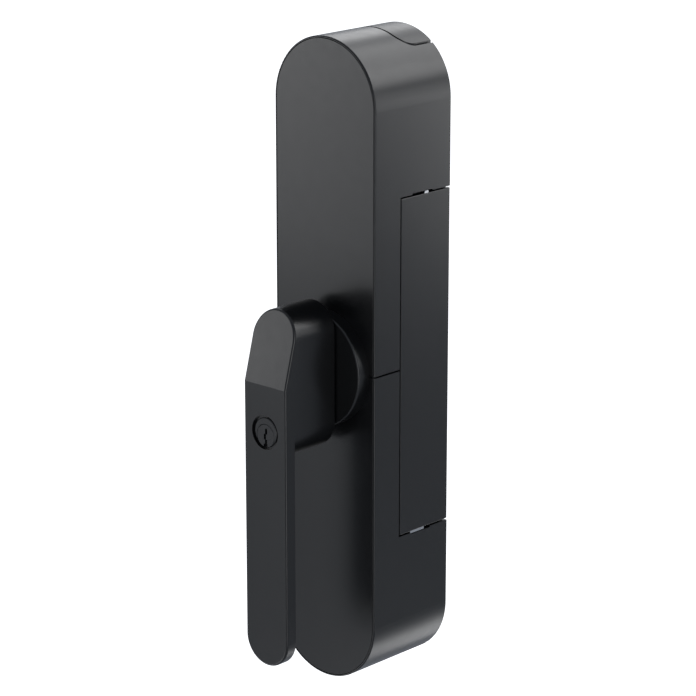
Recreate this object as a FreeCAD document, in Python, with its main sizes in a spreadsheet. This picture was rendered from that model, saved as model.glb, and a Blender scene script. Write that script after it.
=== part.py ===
import FreeCAD, Part
import math
import os
import Sketcher

# Motorised handle for a tilt-and-turn window: a long rounded housing with a key-lockable
# lever. Millimetres. The origin is the spindle axis where it meets the sash, +Z is up and
# the room side is -Y. "Depth" is the distance from the sash towards the room, so y = -depth.

DIMENSIONS = {
    # housing
    "body_height": 300.0, "body_width": 60.6, "body_depth": 50.0, "wall": 2.2,
    "rim_width": 0.75, "rim_round": 0.65, "cover_gap": 0.3, "half_gap": 0.8,
    "cover_thick": 1.8, "cover_round": 0.15, "ledge_width": 1.6, "ledge_thick": 1.5,
    "joint_overlap": 0.5,
    # base plate and its fixings
    "plate_thick": 2.5, "plate_gap": 0.3, "screw_spacing": 43.0, "screw_hole_radius": 2.75,
    "screw_boss_radius": 5.5, "screw_boss_depth": 4.0, "lug_half": 7.0, "lug_depth": 14.0,
    "lug_foot": 122.0, "lug_head": 132.6, "shelf_foot": 133.0, "shelf_head": 135.5,
    "shelf_half": 25.3, "shelf_depth": 18.0, "fixing_depth": 9.0, "fixing_radius": 1.95,
    "fixing_head_radius": 3.4, "fixing_head_thick": 2.5, "fixing_length": 11.0,
    "socket_depth": 1.3, "socket_radius": 1.3, "post_bore": 9.0,
    # removable end caps
    "cap_half": 19.35, "cap_depth": 19.0, "cap_corner": 8.0, "cap_groove": 1.2,
    "cap_flange": 1.3, "cap_flange_thick": 1.2, "cap_flange_gap": 0.15,
    # battery pack, its bay and its cells
    "pack_half_height": 78.6, "pack_depth": 32.5, "pack_gap": 0.8, "pack_skin": 1.6,
    "pack_round": 0.3, "tray_half_height": 76.6, "tray_left": 8.6, "tray_near": 3.2,
    "tray_far": 31.2, "tray_wall": 1.2, "bay_left": 7.2, "bay_wall": 1.0, "bay_near": 2.7,
    "bay_far": 33.0, "bay_inner_half": 77.2, "cell_radius": 9.25, "cell_length": 65.2,
    "cell_across": 19.2, "cell_depth": 15.4, "cell_cap_radius": 4.5, "cell_cap": 1.0,
    "finger_near": 11.9, "finger_far": 25.3, "finger_height": 0.6, "contact_depth": 28.0,
    "contact_up": 60.0, "contact_pitch": 4.0, "contact_radius": 1.1,
    "terminal_half": 6.0, "terminal_thick": 0.6, "terminal_post_radius": 3.0,
    "pack_board_width": 16.0, "pack_board_thick": 1.2, "pack_board_gap": 1.0,
    "pack_board_foot": 58.0, "pack_board_head": 66.0, "catch_height": 1.1,
    "catch_inset": 0.25, "upper_catch_near": 14.4, "upper_catch_far": 16.9,
    "lower_catch_near": 15.8, "lower_catch_far": 25.2,
    # fits: pressed, sliding, seated, threaded, bolted and loose
    "press_gap": 0.02, "pin_gap": 0.03, "seat_gap": 0.05, "bolt_gap": 0.1, "loose_gap": 0.2,
    # spindle, hub and their bearings
    "spindle_width": 7.0, "spindle_reach": 25.0, "spindle_front": 70.0, "square_gap": 0.1,
    "hub_radius": 10.0, "hub_near": 35.7, "hub_far": 75.0, "running_gap": 0.05,
    "sleeve_radius": 6.0, "sleeve_far": 9.0, "boss_radius": 7.0, "pin_depth": 64.0,
    "pin_radius": 1.5, "pin_length": 19.6, "ring_near": 35.95, "ring_thick": 1.0,
    "ring_seat": 9.3, "ring_outer": 12.3, "ring_mouth": 6.0,
    # collar
    "collar_radius": 26.8, "collar_height": 6.6, "collar_round": 0.8,
    "neck_sleeve_radius": 15.0, "lock_hole_radius": 2.75, "lock_hole_depth": 5.2,
    # lever
    "grip_half": 12.87, "grip_top": 32.3, "grip_bottom": 133.8, "grip_front": 89.0,
    "grip_thick": 5.7, "neck_bottom": 35.3, "neck_gap": 0.4, "facet_crease": 1.1,
    "facet_angle": 15.0, "edge_round": 1.0, "neck_round": 0.6,
    # lock cylinder
    "lock_radius": 8.4, "lock_bore": 8.75, "lock_drop": 22.7, "plug_radius": 5.45,
    "plug_drop": 24.4, "lock_recess": 0.5, "lock_near": 70.8, "plug_near": 71.0,
    "plug_recess": 0.4, "lip_radius": 8.0, "lip_thick": 1.5, "lock_face_radius": 6.7,
    "lock_taper": 0.3, "lock_roof": 0.8, "keyway_width": 1.3, "keyway_high": 3.4,
    "keyway_low": 4.3, "keyway_overlap": 0.01, "mouth_near": 87.0,
    "mouth_width": 2.4, "mouth_height": 0.6, "stack_radius": 1.1, "stack_pitch": 3.0,
    "stack_first": 74.0, "stack_gap": 0.06, "stack_floor": 0.2, "key_pin_length": 3.0,
    "key_pin_drop": 0.17, "driver_length": 2.0, "driver_rise": 0.1, "spring_gap": 0.05,
    "stack_spring_wire": 0.16, "stack_spring_length": 1.5,
    # cam and locking bolt
    "cam_radius": 5.3, "cam_middle": 66.9, "bolt_travel": 3.6, "bolt_drop": 20.5,
    "bolt_radius": 2.5, "bolt_tip": 57.2, "bolt_wall_far": 60.0, "bolt_shoulder_near": 65.4,
    "bolt_shoulder_thick": 0.8, "bolt_shoulder_radius": 3.4, "tail_radius": 1.0,
    "cam_gap": 0.25, "bolt_spring_wire": 0.17, "bolt_spring_radius": 2.95,
    # gear train
    "tooth_module": 1.0, "output_teeth": 48.0, "idler_pinion_teeth": 15.0,
    "idler_wheel_teeth": 38.0, "motor_teeth": 14.0, "output_near": 37.2, "output_far": 41.7,
    "wheel_near": 42.2, "wheel_far": 45.2, "axle_radius": 2.5, "motor_offset": 13.5,
    "tooth_thinning": 0.12, "tooth_root": 1.25, "tooth_tip": 0.95,
    "lightening_reach": 16.5, "lightening_radius": 4.0,
    # gear frame, gear cover and motor
    "frame_near": 33.5, "frame_far": 35.3, "frame_half_width": 27.2, "frame_half_height": 95.0,
    "post_across": 20.0, "post_up": 87.5, "post_radius": 3.2, "bridge_near": 45.8,
    "bridge_far": 47.4, "bridge_half_width": 25.8, "bridge_foot": 27.5, "bridge_head": 70.0,
    "pillar_across": 22.3, "pillar_foot": 23.5, "pillar_head": 66.0, "pillar_radius": 2.4,
    "spindle_clearance": 5.6, "shaft_clearance": 3.0,
    "motor_radius": 12.0, "motor_near": 5.2, "motor_split": 22.0, "shaft_radius": 2.0,
    "shaft_depth": 5.0, "can_inset": 0.3, "motor_boss_radius": 4.0, "motor_boss": 1.2,
    "tag_reach": 7.0, "tag_width": 2.4, "tag_length": 1.8, "tag_thick": 0.6,
    "motor_screw_offset": 8.5, "motor_screw_depth": 4.0,
    # small screws with a cross recess
    "screw_radius": 1.2, "cross_width": 1.8, "cross_slot": 0.5, "cross_depth": 0.5,
    # electronics
    "board_near": 37.0, "board_thick": 1.6, "board_half": 23.0, "board_head": 31.0,
    "board_foot": 82.0, "board_screw_inset": 3.5, "spacer_wall": 1.4,
}

SIDES = (1, -1)
PIN_STACKS = 5
PIN_SPRING_TURNS = 2.5
BOLT_SPRING_TURNS = 3.5
CONTACT_PINS = 4
LIGHTENING_HOLES = 6
# sideways steps of the keyway, from its foot up
KEYWAY_STEPS = (0.25, -0.45, 0.35)
# length, head radius and head thickness
FRAME_SCREW = (8.0, 2.6, 1.5)
MOTOR_SCREW = (5.0, 2.1, 1.3)
BOARD_SCREW = (3.0, 2.3, 1.3)
# radio module, processor, motor driver, sounder, pack connector: across, up, size, height
BOARD_CHIPS = (
    (-12.0, -44.0, 14.0, 11.0, 2.4),
    (6.0, -46.0, 9.0, 9.0, 1.2),
    (-8.0, -60.0, 7.0, 6.0, 1.4),
    (-14.0, -71.0, 9.0, 9.0, 3.2),
    (12.0, -66.0, 12.0, 5.0, 4.5),
)
PRESSURE_ANGLE = math.radians(20)
FLANK_STEPS = 4

doc = FreeCAD.newDocument("window_handle_drive")
sheet = doc.addObject("Spreadsheet::Sheet", "Sheet")
for row, (alias, number) in enumerate(DIMENSIONS.items(), start=1):
    sheet.set(f"A{row}", alias)
    sheet.set(f"B{row}", str(number))
    sheet.setAlias(f"B{row}", alias)
doc.recompute()


class Dim:
    """A size that knows its number and the sheet expression it comes from."""

    def __init__(self, value, text):
        self.value = value
        self.text = text

    def __add__(self, other):
        other = as_dim(other)
        return Dim(self.value + other.value, f"({self.text} + {other.text})")

    def __sub__(self, other):
        other = as_dim(other)
        return Dim(self.value - other.value, f"({self.text} - {other.text})")

    def __mul__(self, other):
        other = as_dim(other)
        return Dim(self.value * other.value, f"({self.text} * {other.text})")

    def __truediv__(self, other):
        other = as_dim(other)
        return Dim(self.value / other.value, f"({self.text} / {other.text})")

    def __neg__(self):
        return as_dim(-1) * self


def as_dim(size):
    """Turn a plain number into a Dim."""
    return size if isinstance(size, Dim) else Dim(float(size), f"({float(size)})")


def cell(alias):
    """The sheet's cell with this alias."""
    return Dim(float(sheet.get(alias)), f"Sheet.{alias}")


def bind(thing, path, size):
    """Drive a property of an object from the sheet."""
    size = as_dim(size)
    thing.setExpression(path, size.text)


# ---------------------------------------------------------------- sketches and bodies

def new_body(label):
    body = doc.addObject("PartDesign::Body", label + "_body")
    body.Label = label
    return body


def new_sketch(body, role, offset):
    """A sketch on one of the body's origin planes, moved along the plane's normal."""
    sketch = body.newObject("Sketcher::SketchObject", "outline")
    plane = next(feature for feature in body.Origin.OriginFeatures if feature.Role == role)
    sketch.AttachmentSupport = [(plane, "")]
    sketch.MapMode = "FlatFace"
    bind(sketch, "AttachmentOffset.Base.z", offset)
    return sketch


def pin_coordinate(sketch, kind, geometry, point, size):
    """Hold one coordinate of a sketch point at a sheet expression."""
    size = as_dim(size)
    if abs(size.value) < 1e-9:
        axis = -2 if kind == "DistanceX" else -1
        sketch.addConstraint(Sketcher.Constraint("PointOnObject", geometry, point, axis))
        return
    constraint = Sketcher.Constraint(kind, -1, 1, geometry, point, size.value)
    index = sketch.addConstraint(constraint)
    sketch.setExpression(f"Constraints[{index}]", size.text)


def pin_point(sketch, geometry, point, across, up):
    pin_coordinate(sketch, "DistanceX", geometry, point, across)
    pin_coordinate(sketch, "DistanceY", geometry, point, up)


def arc_between(start, end, centre, turn):
    """The arc from start to end about centre: turn is 1 anticlockwise, -1 clockwise."""
    if turn < 0:
        start, end = end, start
    radius = start.distanceToPoint(centre)
    circle = Part.Circle(centre, FreeCAD.Vector(0, 0, 1), radius)
    first = math.atan2(start.y - centre.y, start.x - centre.x)
    last = math.atan2(end.y - centre.y, end.x - centre.x)
    if last <= first:
        last += 2 * math.pi
    return Part.ArcOfCircle(circle, first, last)


def draw_outline(sketch, corners):
    """A closed outline. A corner (x, y) ends a line; (x, y, cx, cy, turn) ends an arc."""
    places = []
    for corner in corners:
        places.append(FreeCAD.Vector(as_dim(corner[0]).value, as_dim(corner[1]).value, 0))
    joints = []
    for index, corner in enumerate(corners):
        start, end = places[index - 1], places[index]
        if len(corner) == 2:
            geometry = sketch.addGeometry(Part.LineSegment(start, end))
            joints.append((geometry, 1, 2))
            continue
        centre = FreeCAD.Vector(as_dim(corner[2]).value, as_dim(corner[3]).value, 0)
        geometry = sketch.addGeometry(arc_between(start, end, centre, corner[4]))
        joints.append((geometry, 1, 2) if corner[4] > 0 else (geometry, 2, 1))
        if abs(end.x - start.x) > abs(end.y - start.y):
            pin_coordinate(sketch, "DistanceY", geometry, 3, corner[3])
        else:
            pin_coordinate(sketch, "DistanceX", geometry, 3, corner[2])
    for index, corner in enumerate(corners):
        geometry, _, last = joints[index]
        following, first, _ = joints[(index + 1) % len(joints)]
        sketch.addConstraint(Sketcher.Constraint("Coincident", geometry, last, following, first))
        pin_point(sketch, geometry, last, corner[0], corner[1])


def draw_circle(sketch, across, up, radius):
    across, up, radius = as_dim(across), as_dim(up), as_dim(radius)
    centre = FreeCAD.Vector(across.value, up.value, 0)
    geometry = sketch.addGeometry(Part.Circle(centre, FreeCAD.Vector(0, 0, 1), radius.value))
    pin_point(sketch, geometry, 3, across, up)
    index = sketch.addConstraint(Sketcher.Constraint("Radius", geometry, radius.value))
    sketch.setExpression(f"Constraints[{index}]", radius.text)


def draw(sketch, shapes):
    """Draw circles (x, y, radius) and outlines (lists of corners) into one sketch."""
    for shape in shapes:
        if isinstance(shape, tuple):
            draw_circle(sketch, *shape)
        else:
            draw_outline(sketch, shape)


def pad(body, shapes, near, far, role="XZ_Plane"):
    """Add material between two offsets from an origin plane."""
    sketch = new_sketch(body, role, near)
    draw(sketch, shapes)
    feature = body.newObject("PartDesign::Pad", "pad")
    feature.Profile = sketch
    bind(feature, "Length", as_dim(far) - near)
    return feature


def pocket(body, shapes, near, far, role="XZ_Plane"):
    """Remove material between two offsets from an origin plane."""
    sketch = new_sketch(body, role, near)
    draw(sketch, shapes)
    feature = body.newObject("PartDesign::Pocket", "pocket")
    feature.Profile = sketch
    feature.Reversed = True
    bind(feature, "Length", as_dim(far) - near)
    return feature


def revolve(body, corners):
    """Turn an outline in the plane of depth and radius about the spindle axis."""
    sketch = new_sketch(body, "YZ_Plane", 0)
    draw_outline(sketch, corners)
    feature = body.newObject("PartDesign::Revolution", "turned")
    feature.Profile = sketch
    feature.ReferenceAxis = (sketch, ["H_Axis"])
    feature.Angle = 360
    return feature


def round_over(body, radius, wanted):
    """Round the edges of the body's tip that the test picks out."""
    doc.recompute()
    base = body.Tip
    names = []
    for index, edge in enumerate(base.Shape.Edges, start=1):
        if wanted(edge):
            names.append(f"Edge{index}")
    if not names:
        raise ValueError(f"no edge to round on {body.Label}")
    feature = body.newObject("PartDesign::Fillet", "rounding")
    feature.Base = (base, names)
    bind(feature, "Radius", radius)
    return feature


def lies_at_depth(edge, depth):
    """Whether all of an edge lies in the plane at this depth."""
    return all(abs(-vertex.Y - depth) < 1e-4 for vertex in edge.Vertexes)


# ---------------------------------------------------------------- primitives and booleans

def place(thing, across, depth, up):
    bind(thing, "Placement.Base.x", across)
    bind(thing, "Placement.Base.y", -as_dim(depth))
    bind(thing, "Placement.Base.z", up)


def rod(across, up, near, far, radius):
    """A cylinder parallel to the spindle, between two depths."""
    thing = doc.addObject("Part::Cylinder", "rod")
    thing.Placement.Rotation = FreeCAD.Rotation(FreeCAD.Vector(1, 0, 0), 90)
    bind(thing, "Radius", radius)
    bind(thing, "Height", as_dim(far) - near)
    place(thing, across, near, up)
    return thing


def tapered_rod(across, up, near, far, radius):
    """A rod whose room-side edge is tapered off, as the faces of a lock are."""
    taper = cell("lock_taper")
    tip = doc.addObject("Part::Cone", "tip")
    tip.Placement.Rotation = FreeCAD.Rotation(FreeCAD.Vector(1, 0, 0), 90)
    bind(tip, "Radius1", radius)
    bind(tip, "Radius2", radius - taper)
    bind(tip, "Height", taper)
    place(tip, across, far - taper, up)
    return fuse(rod(across, up, near, far - taper, radius), tip)


def upright_rod(across, depth, foot, head, radius):
    """A cylinder parallel to Z, between two heights."""
    thing = doc.addObject("Part::Cylinder", "upright")
    bind(thing, "Radius", radius)
    bind(thing, "Height", as_dim(head) - foot)
    place(thing, across, depth, foot)
    return thing


def cross_rod(left, right, depth, up, radius):
    """A cylinder parallel to X."""
    thing = doc.addObject("Part::Cylinder", "cross_rod")
    thing.Placement.Rotation = FreeCAD.Rotation(FreeCAD.Vector(0, 1, 0), 90)
    bind(thing, "Radius", radius)
    bind(thing, "Height", as_dim(right) - left)
    place(thing, left, depth, up)
    return thing


def block(left, right, near, far, foot, head):
    """A box between limits across, in depth and in height."""
    thing = doc.addObject("Part::Box", "block")
    bind(thing, "Length", as_dim(right) - left)
    bind(thing, "Width", as_dim(far) - near)
    bind(thing, "Height", as_dim(head) - foot)
    place(thing, left, far, foot)
    return thing


def fuse(*pieces):
    thing = doc.addObject("Part::MultiFuse", "joined")
    thing.Shapes = list(pieces)
    return thing


def cut(base, *tools):
    for tool in tools:
        thing = doc.addObject("Part::Cut", "cut")
        thing.Base = base
        thing.Tool = tool
        base = thing
    return base


def group(*pieces):
    """Separate solids kept in one sub-part."""
    thing = doc.addObject("Part::Compound", "group")
    thing.Links = list(pieces)
    return thing


def ring(across, up, near, far, outer, inner):
    return cut(rod(across, up, near, far, outer), rod(across, up, near, far, inner))


def coil(across, up, near, far, radius, wire, turns):
    """A coil spring parallel to the spindle, between two depths."""
    near, far, radius, wire = as_dim(near), as_dim(far), as_dim(radius), as_dim(wire)
    spine = doc.addObject("Part::Helix", "helix")
    spine.Placement.Rotation = FreeCAD.Rotation(FreeCAD.Vector(1, 0, 0), 90)
    bind(spine, "Height", far - near - wire * 2)
    bind(spine, "Pitch", (far - near - wire * 2) / turns)
    bind(spine, "Radius", radius)
    spine.SegmentLength = 1
    place(spine, across, near + wire, up)
    section = doc.addObject("Part::Circle", "wire_section")
    bind(section, "Radius", wire)
    place(section, as_dim(across) + radius, near + wire, up)
    return sweep(spine, section, turns)


def sweep(spine, section, turns):
    """Round wire along a helix, which has one edge for each turn or part of a turn."""
    thing = doc.addObject("Part::Sweep", "coil")
    thing.Sections = [section]
    thing.Spine = (spine, [f"Edge{index + 1}" for index in range(math.ceil(turns))])
    thing.Solid = True
    thing.Frenet = True
    return thing


def named(thing, label):
    thing.Label = label
    sub_parts.append(thing)
    return thing


sub_parts = []

# ---------------------------------------------------------------- shared sizes

body_radius = cell("body_width") / 2
end_centre = cell("body_height") / 2 - body_radius
front = cell("body_depth")
inner_radius = body_radius - cell("wall")
half_gap = cell("half_gap") / 2
cover_near = front - cell("cover_thick")
cover_radius = body_radius - cell("rim_width") - cell("cover_gap")
collar_front = front + cell("collar_height")
neck_near = collar_front + cell("neck_gap")
grip_near = cell("grip_front") - cell("grip_thick")
screw_up = cell("screw_spacing") / 2
module = cell("tooth_module")
idler_up = module * (cell("output_teeth") + cell("idler_pinion_teeth")) / 2
motor_reach = module * (cell("idler_wheel_teeth") + cell("motor_teeth")) / 2


def half_ring(outer, inner, foot, side):
    """U-shaped outline of one half of the housing's wall."""
    return [
        (-outer, foot * side),
        (-outer, end_centre * side),
        (outer, end_centre * side, 0, end_centre * side, -side),
        (outer, foot * side),
        (inner, foot * side),
        (inner, end_centre * side),
        (-inner, end_centre * side, 0, end_centre * side, side),
        (-inner, foot * side),
    ]


def half_stadium(radius, foot, side):
    """Outline of one half of the housing, closed straight across at its foot."""
    return [
        (-radius, foot * side),
        (-radius, end_centre * side),
        (radius, end_centre * side, 0, end_centre * side, -side),
        (radius, foot * side),
    ]


def slot(half, foot, head):
    """Upright outline with half-round ends."""
    low, high = as_dim(foot) + half, as_dim(head) - half
    return [
        (-half, high),
        (half, high, 0, high, -1),
        (half, low),
        (-half, low, 0, low, -1),
    ]


def span(low, high, side):
    """Two heights above the spindle, or the same two below it, lowest first."""
    return (low, high) if side > 0 else (-as_dim(high), -as_dim(low))


def rectangle(left, right, foot, head):
    return [(left, foot), (left, head), (right, head), (right, foot)]


def cap_plan(half, near, depth, corner):
    """Plan of an end cap: straight towards the sash, rounded at the room-side corners."""
    return [
        (-half, -near),
        (-half, corner - depth),
        (corner - half, -depth, corner - half, corner - depth, 1),
        (half - corner, -depth),
        (half, corner - depth, half - corner, corner - depth, 1),
        (half, -near),
    ]


# ---------------------------------------------------------------- housing

def make_shell(label, side):
    """One half of the side wall, with the ledge that the front cover lies on."""
    body = new_body(label)
    pad(body, [half_ring(body_radius, inner_radius, half_gap, side)], 0, front)
    ledge_inner = inner_radius - cell("ledge_width")
    ledge = half_ring(inner_radius + cell("joint_overlap"), ledge_inner, half_gap, side)
    pad(body, [ledge], cover_near - cell("ledge_thick"), cover_near)
    shelf_foot, shelf_head = span(cell("shelf_foot"), cell("shelf_head"), side)
    shelf = rectangle(-cell("shelf_half"), cell("shelf_half"), shelf_foot, shelf_head)
    pad(body, [shelf], cell("plate_thick") + cell("loose_gap"), cell("shelf_depth"))
    recess = half_stadium(body_radius - cell("rim_width"), as_dim(0), side)
    pocket(body, [recess], cover_near, front + 1)

    opening = cell("pack_half_height") + cell("pack_gap")
    bay = rectangle(inner_radius - 1, body_radius + 1, *span(as_dim(0), opening, side))
    pocket(body, [bay], -1, cell("pack_depth") + cell("pack_gap"))
    finger_span = span(opening - 1, opening + cell("finger_height"), side)
    finger = rectangle(inner_radius - 1, body_radius + 1, *finger_span)
    pocket(body, [finger], cell("finger_near"), cell("finger_far"))

    plan = cap_plan(cell("cap_half"), as_dim(0), cell("cap_depth"), cell("cap_corner"))
    above_shelf = cell("shelf_head") + cell("press_gap")
    cap_foot, cap_head = span(above_shelf, cell("body_height") / 2 + 2, side)
    pocket(body, [plan], cap_foot, cap_head, role="XY_Plane")
    hole = (0, -cell("fixing_depth"), cell("fixing_radius") + cell("loose_gap"))
    pocket(body, [hole], shelf_foot - 1, shelf_head + 1, role="XY_Plane")

    round_over(body, cell("rim_round"), is_outer_rim)
    return named(body, label)


def is_outer_rim(edge):
    """Whether an edge is on the housing's outermost outline at its front."""
    if not lies_at_depth(edge, front.value):
        return False
    for vertex in edge.Vertexes:
        beyond = max(abs(vertex.Z) - end_centre.value, 0)
        if abs(math.hypot(vertex.X, beyond) - body_radius.value) > 0.01:
            return False
    return True


def make_front_cover(label, side):
    """One half of the front cover, notched round the collar's sleeve."""
    body = new_body(label)
    foot = cell("cover_gap") / 2
    pad(body, [half_stadium(cover_radius, foot, side)], cover_near, front)
    notch = cell("neck_sleeve_radius") + cell("cover_gap")
    pocket(body, [(0, 0, notch)], cover_near - 1, front + 1)
    round_over(body, cell("cover_round"), lambda edge: lies_at_depth(edge, front.value))
    return named(body, label)


def make_end_cap(label, side):
    """Cap that slides in from the sash side: a skin in the wall, and a flange behind it."""
    centre = end_centre * side
    foot, head = span(end_centre, cell("body_height") / 2 + 1, side)
    groove = cell("cap_groove")
    flange_edge = cell("cap_flange")
    flange_radius = inner_radius - cell("cap_flange_gap")
    beyond = cell("cap_depth") + 5

    skin = new_body(label + "_skin")
    plan = cap_plan(cell("cap_half") - groove, as_dim(0), cell("cap_depth") - groove,
                    cell("cap_corner") - groove)
    pad(skin, [plan], foot, head, role="XY_Plane")
    outside = rectangle(-body_radius - 1, body_radius + 1, centre - body_radius - 2,
                        centre + body_radius + 2)
    pocket(skin, [outside, (0, centre, body_radius)], -1, beyond)
    pocket(skin, [(0, centre, flange_radius - cell("seat_gap"))], -1, beyond)

    flange = new_body(label + "_flange")
    wide = cap_plan(cell("cap_half") + flange_edge, cell("plate_thick") + cell("loose_gap"),
                    cell("cap_depth") + flange_edge, cell("cap_corner"))
    pad(flange, [wide], foot, head, role="XY_Plane")
    pocket(flange, [outside, (0, centre, flange_radius)], -1, beyond)
    pocket(flange, [(0, centre, inner_radius - cell("cap_flange_thick"))], -1, beyond)
    return named(fuse(skin, flange), label)


def post_places():
    """The four posts that carry the gear frame."""
    return [(cell("post_across") * across, cell("post_up") * side)
            for across in SIDES for side in SIDES]


def make_base_plate():
    """Plate screwed to the sash: spindle boss, screw bosses and a lug at each end."""
    body = new_body("base_plate")
    radius = inner_radius - cell("plate_gap")
    pad(body, [slot(radius, -end_centre - radius, end_centre + radius)], 0, cell("plate_thick"))
    holes = [(0, screw_up * side, cell("screw_boss_radius")) for side in SIDES]
    pad(body, holes, 1, cell("screw_boss_depth"))
    pad(body, [(0, 0, cell("boss_radius"))], 1, cell("sleeve_far"))
    for side in SIDES:
        foot, head = span(cell("lug_foot"), cell("lug_head"), side)
        lug = rectangle(-cell("lug_half"), cell("lug_half"), foot, head)
        pad(body, [lug], 1, cell("lug_depth"))
    pad(body, [(*post, cell("post_radius")) for post in post_places()], 1, cell("frame_near"))
    bores = [(0, screw_up * side, cell("screw_hole_radius")) for side in SIDES]
    pocket(body, bores, -1, cell("screw_boss_depth") + 1)
    sleeve_bore = (0, 0, cell("sleeve_radius") + cell("running_gap"))
    pocket(body, [sleeve_bore], -1, cell("sleeve_far") + 1)
    post_bores = [(*post, cell("screw_radius") + cell("seat_gap")) for post in post_places()]
    pocket(body, post_bores, cell("frame_near") - cell("post_bore"), cell("frame_near") + 1)
    for side in SIDES:
        foot, head = span(cell("lug_foot") + 1, cell("lug_head") + 1, side)
        pilot = (0, -cell("fixing_depth"), cell("fixing_radius") + cell("seat_gap"))
        pocket(body, [pilot], foot, head, role="XY_Plane")
    return named(body, "base_plate")


def make_fixing_screws():
    """Screws that clamp the drive to the base plate's lugs, one under each end cap."""
    seat = cell("shelf_head")
    top = seat + cell("fixing_head_thick")
    depth = cell("fixing_depth")
    screws = []
    for side in SIDES:
        foot, head = span(seat - cell("fixing_length"), seat, side)
        shank = upright_rod(0, depth, foot, head, cell("fixing_radius"))
        foot, head = span(seat, top, side)
        cap = upright_rod(0, depth, foot, head, cell("fixing_head_radius"))
        foot, head = span(top - cell("socket_depth"), top + 1, side)
        socket = upright_rod(0, depth, foot, head, cell("socket_radius"))
        screws.append(cut(fuse(shank, cap), socket))
    return named(group(*screws), "fixing_screws")


def make_collar():
    """Fixed collar that the lever turns on, with a lock hole below and one above."""
    body = new_body("collar")
    bore = cell("hub_radius") + cell("running_gap")
    radius = cell("collar_radius")
    neck = cell("neck_sleeve_radius")
    revolve(body, [
        (-cell("bridge_near"), bore),
        (-cell("bridge_near"), neck),
        (-front, neck),
        (-front, radius),
        (-collar_front, radius),
        (-collar_front, bore),
    ])
    round_over(body, cell("collar_round"), is_collar_edge)
    holes = [(0, cell("bolt_drop") * side, cell("lock_hole_radius")) for side in SIDES]
    pocket(body, holes, collar_front - cell("lock_hole_depth"), collar_front + 1)
    return named(body, "collar")


def is_collar_edge(edge):
    """The collar's outer front edge."""
    across = edge.BoundBox.XLength / 2
    outermost = abs(across - cell("collar_radius").value) < 0.01
    return outermost and lies_at_depth(edge, collar_front.value)


# ---------------------------------------------------------------- lever and spindle

def make_lever():
    """Grip and neck in one casting, with a slanted facet over the spindle."""
    body = new_body("lever")
    half = cell("grip_half")
    top = cell("grip_top")
    grip_front = cell("grip_front")
    pad(body, [slot(half, -cell("neck_bottom"), top)], neck_near, grip_front)
    pad(body, [slot(half, -cell("grip_bottom"), top)], grip_near, grip_front)

    crease = -cell("facet_crease")
    rise = top + 1 - crease
    slope = math.tan(math.radians(cell("facet_angle").value))
    facet = [(-grip_front - 1, crease), (-grip_front, crease), (rise * slope - grip_front, top + 1),
             (-grip_front - 1, top + 1)]
    pocket(body, [facet], -half - 1, half + 1, role="YZ_Plane")
    round_over(body, cell("edge_round"), is_lever_edge)
    round_over(body, cell("neck_round"), lambda edge: lies_at_depth(edge, neck_near.value))

    hub_bore = (0, 0, cell("hub_radius") + cell("seat_gap"))
    pocket(body, [hub_bore], neck_near - 1, cell("hub_far") + cell("bolt_gap"))
    lock_up = -cell("lock_drop")
    lip_near = grip_front - cell("lip_thick")
    pocket(body, [(0, lock_up, cell("lock_bore"))], cell("bolt_wall_far"), lip_near)
    pocket(body, [(0, lock_up, cell("lip_radius"))], lip_near - 1, grip_front + 1)
    guide = cell("bolt_radius") + cell("running_gap")
    pocket(body, [(0, -cell("bolt_drop"), guide)], neck_near - 1, cell("bolt_wall_far") + 1)
    return named(body, "lever")


def is_lever_edge(edge):
    """Outline of the lever's front and facet, apart from the crease between them."""
    ends = [vertex.Point for vertex in edge.Vertexes]
    crease = -cell("facet_crease").value
    if all(abs(end.z - crease) < 1e-4 for end in ends):
        return False
    if lies_at_depth(edge, cell("grip_front").value):
        return True
    return all(end.z > crease - 1e-4 and -end.y > grip_near.value - 5 for end in ends)


def make_hub():
    """Steel hub fixed in the lever: it turns in the collar and holds the spindle."""
    socket = cell("spindle_width") + cell("square_gap")
    half = socket / 2
    hub = rod(0, 0, cell("hub_near"), cell("hub_far"), cell("hub_radius"))
    seat_near = cell("ring_near") - cell("seat_gap")
    seat_far = cell("ring_near") + cell("ring_thick") + cell("seat_gap")
    seat = ring(0, 0, seat_near, seat_far, cell("hub_radius") + 1, cell("ring_seat"))
    bottom = cell("spindle_front") + cell("square_gap")
    square = block(-half, half, cell("hub_near") - 1, bottom, -half, half)
    return named(cut(hub, seat, square, cross_bore()), "hub")


def cross_bore():
    """Bore for the pin through the hub and the spindle."""
    reach = cell("hub_radius") + 1
    radius = cell("pin_radius") + cell("pin_gap")
    return cross_rod(-reach, reach, cell("pin_depth"), 0, radius)


def make_spindle():
    half = cell("spindle_width") / 2
    bar = block(-half, half, -cell("spindle_reach"), cell("spindle_front"), -half, half)
    return named(cut(bar, cross_bore()), "spindle")


def make_spindle_pin():
    half = cell("pin_length") / 2
    return named(cross_rod(-half, half, cell("pin_depth"), 0, cell("pin_radius")), "spindle_pin")


def make_spindle_sleeve():
    """Round sleeve that turns with the spindle in the base plate's boss."""
    half = (cell("spindle_width") + cell("square_gap")) / 2
    outside = rod(0, 0, cell("loose_gap"), cell("sleeve_far"), cell("sleeve_radius"))
    square = block(-half, half, -1, cell("sleeve_far") + 1, -half, half)
    return named(cut(outside, square), "spindle_sleeve")


def make_retaining_ring():
    """Open ring that keeps the hub from pulling out of the gear."""
    near = cell("ring_near")
    far = near + cell("ring_thick")
    inner = cell("ring_seat") + cell("seat_gap")
    half = cell("ring_mouth") / 2
    band = ring(0, 0, near, far, cell("ring_outer"), inner)
    mouth = block(-half, half, near - 1, far + 1, 0, cell("ring_outer") + 1)
    return named(cut(band, mouth), "retaining_ring")


# ---------------------------------------------------------------- lock cylinder and bolt

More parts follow.
